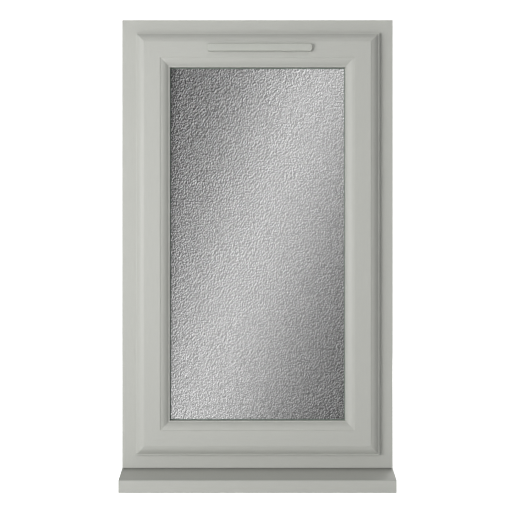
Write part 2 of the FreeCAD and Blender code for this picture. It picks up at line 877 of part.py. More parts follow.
def square_bar(y0, y1, grow):
    """The square spindle along the handle's axis, or room for it."""
    half = spindle_side / 2 + grow
    return panel(spindle_x - half, spindle_x + half, mid_z - half, mid_z + half, y0, y1)


def gearbox_case():
    """The pressed case round the pinion, open towards the drive bar."""
    outer = block("right", bar_high + 0.2, pocket - wall - 0.5, lock_y - case_half_thick,
                  lock_y + case_half_thick, mid_z - case_half_high, mid_z + case_half_high)
    room = block("right", sash_edge, pocket - wall - 2, lock_y - case_half_thick + 1.5,
                 lock_y + case_half_thick - 1.5, mid_z - case_half_high + 1.5, mid_z + case_half_high - 1.5)
    start = V(spindle_x, lock_y - case_half_thick - 1, mid_z)
    bore = Part.makeCylinder(hub_r + running_gap, 2 * case_half_thick + 2, start, V(0, 1, 0))
    return outer.cut([room, bore])


def drive_bar():
    """The sliding bar behind the faceplate, with the rack that meets the pinion."""
    reach = cam_reach + 20
    bar_body = block("right", bar_low, bar_high, lock_y - bar_half, lock_y + bar_half,
                     mid_z - reach, mid_z + reach - lock_travel)
    half = case_half_thick - 2.5
    low = mid_z - lock_travel - 1.6 * tooth_pitch
    high = mid_z + 1.6 * tooth_pitch
    root_t = pitch_t - tooth_ded
    web = block("right", bar_high, root_t, lock_y - half, lock_y + half, low, high)
    slope = math.tan(math.radians(20))
    teeth = []
    first = -round(lock_travel / tooth_pitch) - 1
    for k in range(first, 1):
        middle = mid_z + (k + 0.5) * tooth_pitch
        thin = (tooth_pitch - backlash) / 4
        foot = thin + tooth_ded * slope
        tip = thin - tooth_add * slope
        corners = [(root_t - 0.5, -foot), (root_t, -foot), (pitch_t + tooth_add, -tip),
                   (pitch_t + tooth_add, tip), (root_t, foot), (root_t - 0.5, foot)]

        def spot(t, z):
            return at("right", t, lock_y - half, middle + z)

        teeth.append(prism(corners, spot, V(0, 2 * half, 0)))
    return bar_body.fuse([web] + teeth).removeSplitter()


def cam(z):
    """One mushroom-headed locking cam."""
    stem_t = sash_edge + bar_gap
    head_t = leg + keep_plate + 0.7
    stem = Part.makeCylinder(cam_r, stem_t - head_t, at("right", stem_t, lock_y, z), V(1, 0, 0))
    start = at("right", head_t + cam_head_thick, lock_y, z)
    head = Part.makeCylinder(cam_head_r, cam_head_thick, start, V(1, 0, 0))
    return stem.fuse(head).removeSplitter()


def keep(cam_z):
    """A frame-side keep: a plate with a hooked ramp that the cam slides behind."""
    plate_part = block("right", leg, leg + keep_plate, lock_y - 11, lock_y + 12, cam_z - 14, cam_z + 36)
    hook_low = cam_z + cam_head_r + 5
    hook_high = cam_z + lock_travel + cam_head_r + 6
    front = lock_y - 10
    under = leg + keep_plate + 0.7 + cam_head_thick + 0.6
    post_part = block("right", leg + keep_plate, under, front, lock_y - cam_head_r - 1, hook_low, hook_high)
    claw = block("right", under, under + 3, front, lock_y - cam_r - 0.7, hook_low, hook_high)
    body = plate_part.fuse([post_part, claw]).removeSplitter()
    return body.cut(keep_screws(screw_room))


def faceplate():
    """The long plate on the sash's lock edge, slotted for the cams."""
    front = sash_edge - faceplate_thick
    half = faceplate_long / 2
    body = block("right", front, sash_edge, lock_y - faceplate_half, lock_y + faceplate_half,
                 mid_z - half, mid_z + half)
    cuts = faceplate_screws(screw_room)
    for cam_z in (mid_z - cam_reach, mid_z + cam_reach):
        slot_half = cam_r + 0.6
        cuts.append(block("right", front - 1, sash_edge + 1, lock_y - slot_half, lock_y + slot_half,
                          cam_z - slot_half, cam_z + lock_travel + slot_half))
    return body.cut(cuts)


def make_lock():
    """The espagnolette lock on the sash and its two keeps on the frame."""
    cams = (mid_z - cam_reach, mid_z + cam_reach)
    keep_part("lock_faceplate", faceplate())
    keep_part("lock_gearbox_case", gearbox_case())
    keep_part("lock_pinion", pinion())
    keep_part("lock_drive_bar", drive_bar())
    keep_part("locking_cams", *[cam(z) for z in cams])
    keep_part("keep_lower", keep(cams[0]))
    keep_part("keep_upper", keep(cams[1]))
    keep_part("keep_screws", *keep_screws())
    keep_part("faceplate_screws", *faceplate_screws())


# ---- Handle ----

def handle_base():
    """The base plate on the lock stile that the lever turns in."""
    body = panel(spindle_x - base_half_wide, spindle_x + base_half_wide, mid_z - base_half_high,
                 mid_z + base_half_high, sash_back, base_top, base_half_wide - 1)
    rim = [edge for edge in body.Edges if edge.BoundBox.YMin > base_top - 0.01]
    body = body.makeFillet(2.0, rim)
    start = V(spindle_x, sash_back - 1, mid_z)
    bore = Part.makeCylinder(journal_r + running_gap, base_thick + 2, start, V(0, 1, 0))
    wells = []
    for dz in (-handle_centres / 2, handle_centres / 2):
        low = V(spindle_x, base_top - handle_well, mid_z + dz)
        wells.append(Part.makeCylinder(screw_head_r + 0.4, handle_well + 1, low, V(0, 1, 0)))
    return body.cut([bore] + wells + handle_screws(screw_room))


def handle_lever():
    """The lever: a journal in the base, a neck and a grip that stands off the sash."""
    low = base_top + face_gap
    top = grip_y + grip_thick
    x = spindle_x
    neck_r = grip_half + 1.3
    body = Part.makeCylinder(neck_r, top - low, V(x, low, mid_z), V(0, 1, 0))
    rim = [edge for edge in body.Edges if edge.BoundBox.YMin > top - 0.01]
    body = body.makeFillet(2.5, rim)
    section = box_corners(grip_y, top - 1, -grip_half, grip_half, 4)
    grip = prism(section, lambda y, z: V(x - grip_long, y, mid_z + z), V(grip_long, 0, 0))
    plan = box_corners(x - grip_long, x + neck_r, mid_z - grip_half - 0.1, mid_z + grip_half + 0.1, 7)
    grip = grip.common(prism(plan, lambda a, b: V(a, grip_y - 1, b), V(0, grip_thick + 2, 0)))
    body = body.fuse(grip)
    start = V(x, sash_back + face_gap, mid_z)
    journal = Part.makeCylinder(journal_r, base_thick + 1, start, V(0, 1, 0))
    body = body.fuse(journal).removeSplitter()
    well = Part.makeCylinder(button_r + 0.1, 12, V(x, top - 8, mid_z), V(0, 1, 0))
    return body.cut([square_bar(sash_back - 1, base_top + 12, 0.0), well])


def lock_button():
    """The push button in the lever's hub that frees it."""
    top = grip_y + grip_thick
    body = Part.makeCylinder(button_r, 4.6 + button_travel, V(spindle_x, top - 4.6, mid_z), V(0, 1, 0))
    rim = [edge for edge in body.Edges if edge.BoundBox.YMin > top + button_travel - 0.01]
    return body.makeFillet(0.8, rim)


def make_handle():
    """The handle, its spindle, button and screws."""
    keep_part("handle_base", handle_base())
    keep_part("handle_lever", handle_lever())
    keep_part("handle_spindle", square_bar(lock_y - case_half_thick, base_top + 11, 0.0))
    keep_part("lock_button", lock_button())
    keep_part("handle_screws", *handle_screws())


# ---- Trickle vent ----

def canopy():
    """The outside hood over the air slots, open below."""
    z = top_z - canopy_t
    half = canopy_high / 2
    front = sash_face - canopy_proud
    left = vent_x - canopy_half
    right = vent_x + canopy_half
    body = panel(left, right, z - half, z + half, front, sash_face, canopy_corner)
    rim = [edge for edge in body.Edges if edge.BoundBox.YMax < front + 0.01]
    body = body.makeFillet(2.4, rim)
    skin = canopy_wall
    room = panel(left + skin, right - skin, z - half + skin, z + half - skin, front + skin,
                 sash_face + 1, canopy_corner - skin)
    mouth = panel(left + 12, right - 12, z - half - 1, z - half + skin + 1, front + 2.8, sash_face - 0.8)
    return body.cut([room, mouth])


def vent_body():
    """The inside frame of the vent, with an ear at each end for the flap's pins."""
    low = top_z - flap_t - vent_body_high + 2.4
    high = top_z - flap_t + 2.4
    body = panel(vent_x - vent_half, vent_x + vent_half, low, high, sash_back, vent_face, 4)
    reach = slot_long + slot_rib
    room = panel(vent_x - reach, vent_x + reach, high - 5 - slot_high, high - 4, sash_back - 1,
                 vent_face + 1, 1.5)
    axis = flap_axis()
    ears = []
    for x0 in (vent_x - reach - ear_away - ear_thick, vent_x + reach + ear_away):
        ears.append(panel(x0, x0 + ear_thick, axis.z - 3, high, vent_face - 1, axis.y + 2.4))
    start = V(vent_x - vent_half, axis.y, axis.z)
    bore = Part.makeCylinder(flap_pin_r + running_gap, 2 * vent_half, start, V(1, 0, 0))
    body = body.fuse(ears).removeSplitter()
    return body.cut([room, bore] + vent_screws(screw_room))


def flap_axis():
    """The middle of the flap's hinge line."""
    return V(vent_x, vent_face + face_gap + flap_thick / 2 + 0.2, top_z - flap_t)


def vent_flap():
    """The flap that shuts the vent, with a barrel, two pins and a pull rib."""
    axis = flap_axis()
    half = slot_long + slot_rib + ear_away - face_gap
    barrel = Part.makeCylinder(flap_thick / 2 + 0.2, 2 * half, axis - V(half, 0, 0), V(1, 0, 0))
    reach = half + ear_thick - 0.5
    pin = Part.makeCylinder(flap_pin_r, 2 * reach, axis - V(reach, 0, 0), V(1, 0, 0))
    y0 = axis.y - flap_thick / 2
    leaf = panel(vent_x - half, vent_x + half, axis.z - flap_high, axis.z, y0, y0 + flap_thick)
    rib = panel(vent_x - 20, vent_x + 20, axis.z - flap_high, axis.z - flap_high + 2, y0 + flap_thick,
                y0 + flap_thick + 3)
    return barrel.fuse([pin, leaf, rib]).removeSplitter()


def make_vent():
    """The trickle vent through the sash's top rail."""
    keep_part("vent_canopy", canopy())
    keep_part("vent_body", vent_body())
    keep_part("vent_flap", vent_flap())
    keep_part("vent_screws", *vent_screws())


def export_all():
    """Write each sub-part to its own file, once every solid in it is sound."""
    os.makedirs("parts", exist_ok=True)
    for name, shape in parts.items():
        for solid in shape.Solids:
            if not solid.isValid() or solid.Volume <= 0:
                raise ValueError(name + " has an unsound solid")
        shape.exportStep("parts/" + name + ".step")
    print(len(parts), "sub-parts")


make_frame()
make_inner_seal()
make_sill()
make_sash()
make_sash_seal()
make_glazing()
make_stays()
make_run_up_block()
make_lock()
make_handle()
make_vent()
export_all()
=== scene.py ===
import math

import bpy
import numpy as np
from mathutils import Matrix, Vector

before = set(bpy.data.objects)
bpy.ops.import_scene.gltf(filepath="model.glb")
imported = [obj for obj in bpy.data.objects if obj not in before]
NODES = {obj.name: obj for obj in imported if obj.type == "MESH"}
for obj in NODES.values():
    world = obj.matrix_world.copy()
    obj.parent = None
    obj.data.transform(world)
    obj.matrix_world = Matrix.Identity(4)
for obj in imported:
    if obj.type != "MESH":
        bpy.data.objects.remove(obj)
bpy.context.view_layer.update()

bl_info = {
    "name": "Casement window finishes",
    "version": (1, 0, 0),
    "blender": (4, 5, 0),
    "location": "3D View > Sidebar > Casement",
    "description": "Finishes for a foiled plastic casement window, and its studio",
    "category": "Object",
}

MM = 0.001


# ---- Sizes and colours a user would change ----

class CasementFinish(bpy.types.PropertyGroup):
    """Colours and grain of the window's surfaces."""

    foil_hex: bpy.props.StringProperty(
        name="Foil", description="Colour of the grained foil", default="#B9BAB4")
    moulding_hex: bpy.props.StringProperty(
        name="Mouldings", description="Colour of the moulded caps and vent", default="#B6B8B1")
    grain_pitch: bpy.props.FloatProperty(
        name="Grain pitch", description="Distance between two embossed grain lines",
        default=1.0 * MM, unit="LENGTH")
    grain_length: bpy.props.FloatProperty(
        name="Grain length", description="Length of one embossed grain line",
        default=40 * MM, unit="LENGTH")
    stipple_pitch: bpy.props.FloatProperty(
        name="Stipple pitch", description="Distance between two bumps of the obscure glass",
        default=2.75 * MM, unit="LENGTH")


class CasementStudio(bpy.types.PropertyGroup):
    """Camera and lights."""

    distance: bpy.props.FloatProperty(
        name="Camera distance", description="From the frame's outer face",
        default=2.81, unit="LENGTH")
    height: bpy.props.FloatProperty(
        name="Camera height", description="Above the floor", default=0.5165, unit="LENGTH")
    lens: bpy.props.FloatProperty(
        name="Lens", description="Focal length on a 36 mm sensor", default=87.1, unit="CAMERA")
    key_power: bpy.props.FloatProperty(
        name="Key light", description="Power of the soft light at the left", default=78.5, unit="POWER")
    strip_glow: bpy.props.FloatProperty(
        name="Strip of light", description="Strength of the slanting strip in the glass", default=8.0)
    strip_wide: bpy.props.FloatProperty(
        name="Strip width", description="Slope from its middle to where it fades", default=0.051)
    strip_shift: bpy.props.FloatProperty(
        name="Strip shift", description="Slope by which its middle passes the window's", default=-0.004)
    strip_lean: bpy.props.FloatProperty(
        name="Strip lean", description="Degrees off upright", default=20.0)
    room: bpy.props.FloatProperty(
        name="Room", description="Strength of the light seen through the panes", default=0.03)
    floor_glow: bpy.props.FloatProperty(
        name="Floor glow", description="Strength of the light that the floor sends up", default=0.14)
    ambient: bpy.props.FloatProperty(
        name="Ambient", description="Strength of the soft light from all round", default=0.28)


# ---- Small helpers ----

def linear(hex_value):
    """An sRGB hex colour as linear red, green, blue and alpha."""
    parts = np.array([int(hex_value[i:i + 2], 16) for i in (1, 3, 5)]) / 255.0
    lin = np.where(parts <= 0.04045, parts / 12.92, ((parts + 0.055) / 1.055) ** 2.4)
    return (*[float(v) for v in lin], 1.0)


def shades(hex_value, *stops):
    """Colour stops of a ramp, each given as its position and a factor of one colour."""
    base = linear(hex_value)[:3]
    return [(position, (*[min(1.0, c * factor) for c in base], 1.0)) for position, factor in stops]


def along_scale(along, pitch, length):
    """Scale of a pattern that is drawn out along one axis: its pitch across, its length along."""
    scale = [1.0 / pitch] * 3
    scale["xyz".index(along)] = 1.0 / length
    return scale


def put(tree, kind, settings=None):
    """Add one node. Each setting fills an attribute, the colour stops, or a socket by its name or
    number. Where its value is an earlier node or one of its outputs, the socket is linked to it."""
    node = tree.nodes.new(kind)
    for key, value in (settings or {}).items():
        if isinstance(value, bpy.types.Node):
            value = value.outputs[0]
        if key == "stops":
            elements = node.color_ramp.elements
            while len(elements) < len(value):
                elements.new(0.5)
            for element, (position, colour) in zip(elements, value):
                element.position = position
                element.color = colour
        elif isinstance(value, bpy.types.NodeSocket):
            tree.links.new(value, node.inputs[key])
        elif isinstance(key, str) and hasattr(node, key):
            setattr(node, key, value)
        elif value is not None:
            node.inputs[key].default_value = value
    return node


def new_material(name):
    """An empty material and its node tree."""
    material = bpy.data.materials.new(name)
    material.use_nodes = True
    material.node_tree.nodes.clear()
    return material, material.node_tree


# ---- Materials ----

def foil_nodes(tree, where, hex_value, along):
    """Colour, roughness and relief of the embossed foil, whose pores run along one axis."""
    finish = bpy.context.scene.casement_finish
    pitch, length = finish.grain_pitch, finish.grain_length
    band_pitch, band_length = 5 * pitch, 0.6 * length
    grit_size = MM / 0.9
    grit_share = 0.25
    fine = put(tree, "ShaderNodeMapping", {"Scale": along_scale(along, pitch, length), "Vector": where})
    broad = put(tree, "ShaderNodeMapping",
                {"Scale": along_scale(along, band_pitch, band_length), "Vector": where})
    pores = put(tree, "ShaderNodeTexNoise", {"Scale": 1.0, "Detail": 3.0, "Roughness": 0.6, "Vector": fine})
    bands = put(tree, "ShaderNodeTexNoise", {"Scale": 1.0, "Detail": 2.0, "Vector": broad})
    grit = put(tree, "ShaderNodeTexNoise", {"Scale": 1.0 / grit_size, "Detail": 2.0, "Vector": where})
    mixed = put(tree, "ShaderNodeMix", {"data_type": "FLOAT", "Factor": 0.2, 2: pores, 3: bands})
    colour = put(tree, "ShaderNodeValToRGB",
                 {"stops": shades(hex_value, (0.3, 0.955), (0.5, 1.0), (0.7, 1.03)), "Fac": mixed})
    rough = put(tree, "ShaderNodeMapRange", {"To Min": 0.36, "To Max": 0.50, "Value": pores})
    height = put(tree, "ShaderNodeMath", {"operation": "MULTIPLY_ADD", 0: grit, 1: grit_share, 2: pores})
    relief = put(tree, "ShaderNodeBump", {"Strength": 0.6, "Distance": 0.04 * MM, "Height": height})
    return colour, rough, relief


def grained_foil(name, hex_value, along):
    """PVC-U profile wrapped in an embossed acrylic foil: a matt skin whose fine pores run with
    the bar, so it glints a little in streaks and its colour is broken by slightly darker pores."""
    material, tree = new_material(name)
    where = put(tree, "ShaderNodeTexCoord").outputs["Object"]
    colour, rough, relief = foil_nodes(tree, where, hex_value, along)
    skin = put(tree, "ShaderNodeBsdfPrincipled",
               {"IOR": 1.5, "Base Color": colour, "Roughness": rough, "Normal": relief})
    put(tree, "ShaderNodeOutputMaterial", {"Surface": skin})
    return material


def foil_with_painted_shade(name, hex_value, along):
    """The same foil on the sill with painted shade mixed into its colour: darkest in the corner at the
    frame, where shade falls, gone half way down the slope, and only on faces that look up."""
    # colour and reach of the painted shade in the corner where the sill meets the frame
    painted_shade_hex = "#34342F"
    painted_shade_end = -50 * MM
    painted_shade_fade = 3.2
    patch_size = 25 * MM
    material, tree = new_material(name)
    spot = put(tree, "ShaderNodeTexCoord")
    where = spot.outputs["Object"]
    colour, rough, relief = foil_nodes(tree, where, hex_value, along)
    depth = put(tree, "ShaderNodeSeparateXYZ", {"Vector": where}).outputs["Y"]
    upward = put(tree, "ShaderNodeSeparateXYZ", {"Vector": spot.outputs["Normal"]}).outputs["Z"]
    near = put(tree, "ShaderNodeMapRange", {"From Min": painted_shade_end, "From Max": 0.0, "Value": depth})
    fade = put(tree, "ShaderNodeMath", {"operation": "POWER", 0: near, 1: painted_shade_fade})
    level = put(tree, "ShaderNodeMapRange", {"From Min": 0.3, "From Max": 0.8, "Value": upward})
    painted_shade = put(tree, "ShaderNodeMath", {"operation": "MULTIPLY", 0: fade, 1: level})
    patchy = put(tree, "ShaderNodeTexNoise", {"Scale": 1.0 / patch_size, "Detail": 3.0, "Vector": where})
    cover = put(tree, "ShaderNodeMapRange", {"To Min": 0.8, "To Max": 1.0, "Value": patchy})
    share = put(tree, "ShaderNodeMath", {"operation": "MULTIPLY", 0: painted_shade, 1: cover})
    # the painted shade is mixed into the foil's colour
    shaded_colour = put(tree, "ShaderNodeMix",
                {"data_type": "RGBA", 0: share, 6: colour, 7: linear(painted_shade_hex)}).outputs[2]
    skin = put(tree, "ShaderNodeBsdfPrincipled",
               {"IOR": 1.5, "Base Color": shaded_colour, "Roughness": rough, "Normal": relief})
    put(tree, "ShaderNodeOutputMaterial", {"Surface": skin})
    return material


def moulded_plastic(name, hex_value, roughness=0.45):
    """Injection-moulded plastic from a spark-eroded tool: an even, very fine dimpled sheen. The
    dimples are drawn at 0.9 mm, coarser than real ones, so that they show."""
    material, tree = new_material(name)
    where = put(tree, "ShaderNodeTexCoord").outputs["Object"]
    spots = put(tree, "ShaderNodeTexNoise", {"Scale": 1.0 / (0.9 * MM), "Detail": 3.0, "Vector": where})
    cloud = put(tree, "ShaderNodeTexNoise", {"Scale": 1.0 / (60 * MM), "Detail": 2.0, "Vector": where})
    colour = put(tree, "ShaderNodeValToRGB",
                 {"stops": shades(hex_value, (0.3, 0.965), (0.7, 1.02)), "Fac": cloud})
    rough = put(tree, "ShaderNodeMapRange",
                {"To Min": roughness - 0.06, "To Max": roughness + 0.08, "Value": spots})
    relief = put(tree, "ShaderNodeBump", {"Strength": 0.7, "Distance": 0.04 * MM, "Height": spots})
    skin = put(tree, "ShaderNodeBsdfPrincipled",
               {"IOR": 1.5, "Base Color": colour, "Roughness": rough, "Normal": relief})
    put(tree, "ShaderNodeOutputMaterial", {"Surface": skin})
    return material


def powder_coat(name, hex_value):
    """Aluminium with a baked polyester powder coat: satin, with faint orange peel."""
    material, tree = new_material(name)
    where = put(tree, "ShaderNodeTexCoord").outputs["Object"]
    peel = put(tree, "ShaderNodeTexNoise", {"Scale": 1.0 / (2.2 * MM), "Detail": 2.0, "Vector": where})
    colour = put(tree, "ShaderNodeValToRGB",
                 {"stops": shades(hex_value, (0.3, 0.98), (0.7, 1.02)), "Fac": peel})
    rough = put(tree, "ShaderNodeMapRange", {"To Min": 0.32, "To Max": 0.44, "Value": peel})
    relief = put(tree, "ShaderNodeBump", {"Strength": 0.6, "Distance": 0.06 * MM, "Height": peel})
    skin = put(tree, "ShaderNodeBsdfPrincipled",
               {"IOR": 1.5, "Base Color": colour, "Roughness": rough, "Normal": relief})
    put(tree, "ShaderNodeOutputMaterial", {"Surface": skin})
    return material


def brushed_metal(name, hex_value, along, roughness=0.34):
    """Stainless or plated strip, linished along its length: long fine scratches stretch the light.
    The scratches are drawn at 0.35 mm, coarser than real ones, so that they show."""
    material, tree = new_material(name)
    where = put(tree, "ShaderNodeTexCoord").outputs["Object"]
    fine = put(tree, "ShaderNodeMapping",
               {"Scale": along_scale(along, 0.35 * MM, 40 * MM), "Vector": where})
    lines = put(tree, "ShaderNodeTexNoise", {"Scale": 1.0, "Detail": 4.0, "Roughness": 0.7, "Vector": fine})
    colour = put(tree, "ShaderNodeValToRGB",
                 {"stops": shades(hex_value, (0.3, 0.86), (0.7, 1.06)), "Fac": lines})
    rough = put(tree, "ShaderNodeMapRange",
                {"To Min": roughness - 0.08, "To Max": roughness + 0.14, "Value": lines})
    relief = put(tree, "ShaderNodeBump", {"Strength": 0.6, "Distance": 0.03 * MM, "Height": lines})
    skin = put(tree, "ShaderNodeBsdfPrincipled",
               {"Metallic": 1.0, "Base Color": colour, "Roughness": rough, "Normal": relief})
    put(tree, "ShaderNodeOutputMaterial", {"Surface": skin})
    return material


def cast_metal(name, hex_value, roughness=0.45):
    """Zinc die casting or plated turned steel: slightly mottled, soft shine."""
    material, tree = new_material(name)
    where = put(tree, "ShaderNodeTexCoord").outputs["Object"]
    mottle = put(tree, "ShaderNodeTexNoise", {"Scale": 1.0 / (1.6 * MM), "Detail": 4.0, "Vector": where})
    colour = put(tree, "ShaderNodeValToRGB",
                 {"stops": shades(hex_value, (0.3, 0.88), (0.7, 1.06)), "Fac": mottle})
    rough = put(tree, "ShaderNodeMapRange",
                {"To Min": roughness - 0.1, "To Max": roughness + 0.12, "Value": mottle})
    relief = put(tree, "ShaderNodeBump", {"Strength": 0.5, "Distance": 0.05 * MM, "Height": mottle})
    skin = put(tree, "ShaderNodeBsdfPrincipled",
               {"Metallic": 1.0, "Base Color": colour, "Roughness": rough, "Normal": relief})
    put(tree, "ShaderNodeOutputMaterial", {"Surface": skin})
    return material


def galvanised_steel(name):
    """Hot-dip galvanised strip: flat crystal spangles about 6 mm across, each a different grey."""
    material, tree = new_material(name)
    where = put(tree, "ShaderNodeTexCoord").outputs["Object"]
    cells = put(tree, "ShaderNodeTexVoronoi", {"Scale": 1.0 / (6 * MM), "Vector": where})
    tone = put(tree, "ShaderNodeSeparateColor", {"Color": cells.outputs["Color"]})
    colour = put(tree, "ShaderNodeValToRGB",
                 {"stops": shades("#A3A8AA", (0.0, 0.75), (1.0, 1.15)), "Fac": tone})
    rough = put(tree, "ShaderNodeMapRange", {"To Min": 0.38, "To Max": 0.62, "Value": tone})
    skin = put(tree, "ShaderNodeBsdfPrincipled",
               {"Metallic": 0.9, "Base Color": colour, "Roughness": rough})
    put(tree, "ShaderNodeOutputMaterial", {"Surface": skin})
    return material


def seal_rubber(name, hex_value):
    """Extruded rubber seal or run-in sealant: dull, with a faint cloudy bloom and little shine."""
    material, tree = new_material(name)
    where = put(tree, "ShaderNodeTexCoord").outputs["Object"]
    bloom = put(tree, "ShaderNodeTexNoise", {"Scale": 1.0 / (5 * MM), "Detail": 3.0, "Vector": where})
    colour = put(tree, "ShaderNodeValToRGB",
                 {"stops": shades(hex_value, (0.3, 0.8), (0.7, 1.25)), "Fac": bloom})
    rough = put(tree, "ShaderNodeMapRange", {"To Min": 0.5, "To Max": 0.72, "Value": bloom})
    relief = put(tree, "ShaderNodeBump", {"Strength": 0.5, "Distance": 0.05 * MM, "Height": bloom})
    skin = put(tree, "ShaderNodeBsdfPrincipled",
               {"IOR": 1.5, "Base Color": colour, "Roughness": rough, "Normal": relief})
    put(tree, "ShaderNodeOutputMaterial", {"Surface": skin})
    return material


def clear_glass(name):
    """Clear float glass: colourless, flat and smooth, it mirrors a little and lets lamps through."""
    material, tree = new_material(name)
    glass = put(tree, "ShaderNodeBsdfPrincipled", {
        "Base Color": linear("#FBFCFB"), "Roughness": 0.0, "IOR": 1.52, "Transmission Weight": 1.0})
    shadow = put(tree, "ShaderNodeLightPath").outputs["Is Shadow Ray"]
    shade = put(tree, "ShaderNodeBsdfTransparent", {"Color": linear("#F2F4F2")})
    both = put(tree, "ShaderNodeMixShader", {0: shadow, 1: glass, 2: shade})
    put(tree, "ShaderNodeOutputMaterial", {"Surface": both})
    return material


def stippled_glass(name):
    """Rolled obscure glass: the roller leaves close bumps a few millimetres apart, which turn the
    light in all directions, so the sheet looks grey and salt-and-pepper grained, not see-through,
    and mirrors only a soft sheen. The relief's height less its height a little aside gives a
    flank's slope; the base colour is painted highlight on the flanks on one side and painted shade
    on those on the other, as if lit from one side, and a painted sheen makes the coat stronger on the lit
    flanks."""
    pitch = bpy.context.scene.casement_finish.stipple_pitch
    # the step aside sets the side from which the painted light seems to fall
    step_aside = (0.32, 0.0, -0.22)
    steepest = 0.11
    bumpy = {"Scale": 1.0, "Detail": 2.0, "Roughness": 0.6, "Distortion": 0.2}
    painted_light_greys = ((0.05, "#000000"), (0.3, "#0C0C0C"), (0.5, "#2E2E2E"), (0.7, "#6A6A6A"), (0.95, "#D4D4D4"))
    material, tree = new_material(name)
    where = put(tree, "ShaderNodeTexCoord").outputs["Object"]
    here = put(tree, "ShaderNodeMapping",
               {"Scale": (1.0 / pitch, 1.0 / pitch, 0.8 / pitch), "Vector": where})
    aside = put(tree, "ShaderNodeVectorMath", {"operation": "ADD", 0: here, 1: step_aside})
    bumps = put(tree, "ShaderNodeTexNoise", {**bumpy, "Vector": here})
    beside = put(tree, "ShaderNodeTexNoise", {**bumpy, "Vector": aside})
    slope = put(tree, "ShaderNodeMath", {"operation": "SUBTRACT", 0: bumps, 1: beside})
    tilt = put(tree, "ShaderNodeMapRange", {"From Min": -steepest, "From Max": steepest, "Value": slope})
    # painted highlight and painted shade on the bumps' flanks, as if lit from one side
    colour = put(tree, "ShaderNodeValToRGB",
                 {"stops": [(position, linear(grey)) for position, grey in painted_light_greys], "Fac": tilt})
    # painted sheen: the coat is stronger on the same lit flanks
    sheen = put(tree, "ShaderNodeMapRange", {"To Min": 0.15, "To Max": 1.0, "Value": tilt})
    relief = put(tree, "ShaderNodeBump", {"Strength": 0.6, "Distance": 0.26 * MM, "Height": bumps})
    skin = put(tree, "ShaderNodeBsdfPrincipled", {
        "Roughness": 0.09, "IOR": 1.5, "Transmission Weight": 0.12, "Coat Roughness": 0.06,
        "Base Color": colour, "Coat Weight": sheen, "Normal": relief})
    put(tree, "ShaderNodeOutputMaterial", {"Surface": skin})
    return material


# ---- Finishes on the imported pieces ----

def dress(material, *names):
    """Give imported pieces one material."""
    for name in names:
        mesh = NODES[name].data
        mesh.materials.clear()
        mesh.materials.append(material)


class CASEMENT_OT_bars(bpy.types.Operator):
    """Foil on the frame, sash, beads and sill, with its grain along each bar"""
    bl_idname = "casement.bars"
    bl_label = "Foiled bars"

    def execute(self, context):
        finish = context.scene.casement_finish
        level = grained_foil("grained_foil_level", finish.foil_hex, "x")
        upright = grained_foil("grained_foil_upright", finish.foil_hex, "z")
        dress(level, "frame_head", "frame_bottom_rail", "sash_top_rail", "sash_bottom_rail",
              "glazing_bead_top", "glazing_bead_bottom")
        # the sill's foil carries painted shade where it meets the frame
        dress(foil_with_painted_shade("weathered_foil_sill", finish.foil_hex, "x"), "sill")
        dress(upright, "frame_hinge_jamb", "frame_lock_jamb", "sash_hinge_stile", "sash_lock_stile",
              "glazing_bead_hinge", "glazing_bead_lock")
        dress(moulded_plastic("moulded_cap_asa", finish.moulding_hex),
              "sill_end_caps", "vent_body", "vent_flap")
        dress(powder_coat("powder_coated_hood", finish.moulding_hex), "vent_canopy")
        return {"FINISHED"}


class CASEMENT_OT_glazing(bpy.types.Operator):
    """The sealed unit's glass, spacer and sealant, and the seals"""
    bl_idname = "casement.glazing"
    bl_label = "Glazing"

    def execute(self, context):
        dress(clear_glass("clear_float_glass"), "inner_pane")
        dress(stippled_glass("rolled_stippled_glass"), "patterned_pane")
        dress(moulded_plastic("warm_edge_spacer", "#5C6660", 0.5), "spacer_bar")
        dress(seal_rubber("polysulphide_sealant", "#26292A"), "edge_sealant")
        dress(seal_rubber("grey_epdm_seal", "#6F7C72"), "outer_glazing_gasket", "bead_gasket",
              "frame_inner_seal", "sash_outer_seal")
        dress(moulded_plastic("glazing_packer_polypropylene", "#2C3E6E", 0.4), "glazing_packers")
        return {"FINISHED"}


class CASEMENT_OT_hardware(bpy.types.Operator):
    """Steel, zinc and brass of the stays, the lock and the screws"""
    bl_idname = "casement.hardware"
    bl_label = "Hardware"

    def execute(self, context):
        dress(galvanised_steel("galvanised_core_steel"), "frame_steels", "sash_steels")
        dress(brushed_metal("brushed_stainless_stay", "#B4B4B0", "x"), "stay_tracks", "stay_nose_links",
              "stay_centre_links", "stay_long_arms", "stay_sash_arms")
        dress(brushed_metal("plated_lock_strip", "#B9B8B0", "z", 0.3), "lock_faceplate", "lock_drive_bar")
        dress(cast_metal("turned_rivet_steel", "#AAAAA8", 0.3), "stay_fixed_pins", "stay_nose_pins",
              "stay_centre_pins", "stay_arm_pins", "stay_shoe_pins", "locking_cams", "handle_spindle")
        dress(moulded_plastic("black_nylon", "#1B1B1C", 0.5), "stay_end_caps", "run_up_block")
        dress(cast_metal("sintered_brass_shoe", "#B08D4A", 0.4), "stay_shoes")
        dress(cast_metal("zinc_plated_screw_steel", "#C0BFB8", 0.32), "sill_screws", "stay_track_screws",
              "keep_screws", "stay_arm_screws", "faceplate_screws", "handle_screws", "vent_screws")
        dress(cast_metal("zinc_die_casting", "#9FA2A4", 0.42), "keep_lower", "keep_upper",
              "lock_gearbox_case", "lock_pinion")
        return {"FINISHED"}


class CASEMENT_OT_handle(bpy.types.Operator):
    """Satin aluminium handle and its chromed button"""
    bl_idname = "casement.handle"
    bl_label = "Handle"

    def execute(self, context):
        dress(brushed_metal("satin_anodised_aluminium", "#C4C4C2", "x", 0.36), "handle_base", "handle_lever")
        dress(cast_metal("chromed_zinc_button", "#D8D8D8", 0.12), "lock_button")
        return {"FINISHED"}


# ---- Stage ----

